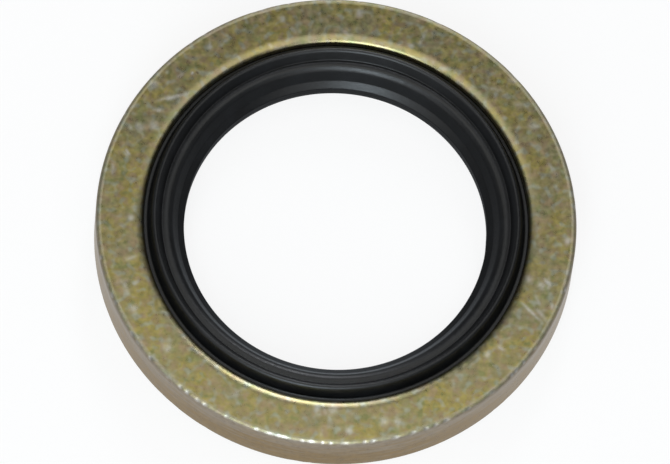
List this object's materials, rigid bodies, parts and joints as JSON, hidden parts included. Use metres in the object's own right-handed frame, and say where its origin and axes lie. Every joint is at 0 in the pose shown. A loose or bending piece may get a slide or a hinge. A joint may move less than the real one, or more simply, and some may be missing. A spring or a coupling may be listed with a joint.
{
  "type": "bonded sealing washer",
  "caption": "Flat plated steel ring with a black rubber seal bonded in its bore. It seals under a bolt head or port fitting and centres itself on the thread.",
  "frame": {"origin": "on the axis of the bore at mid-thickness, the centre of the bounding box", "axes": "+Z along the axis of the bore; the washer is the same on both faces, and +X and +Y are any two directions in the plane of the ring"},
  "size_m": [0.0238, 0.0238, 0.0036],
  "materials": {
    "plated_steel": "tumbled steel, zinc plated with a yellow passivation, satin with fine scratches",
    "seal_rubber": "black nitrile rubber as moulded, satin"
  },
  "bodies": {
    "root": {"steel_ring": "plated_steel", "rubber_seal": "seal_rubber"}
  },
  "joints": []
}
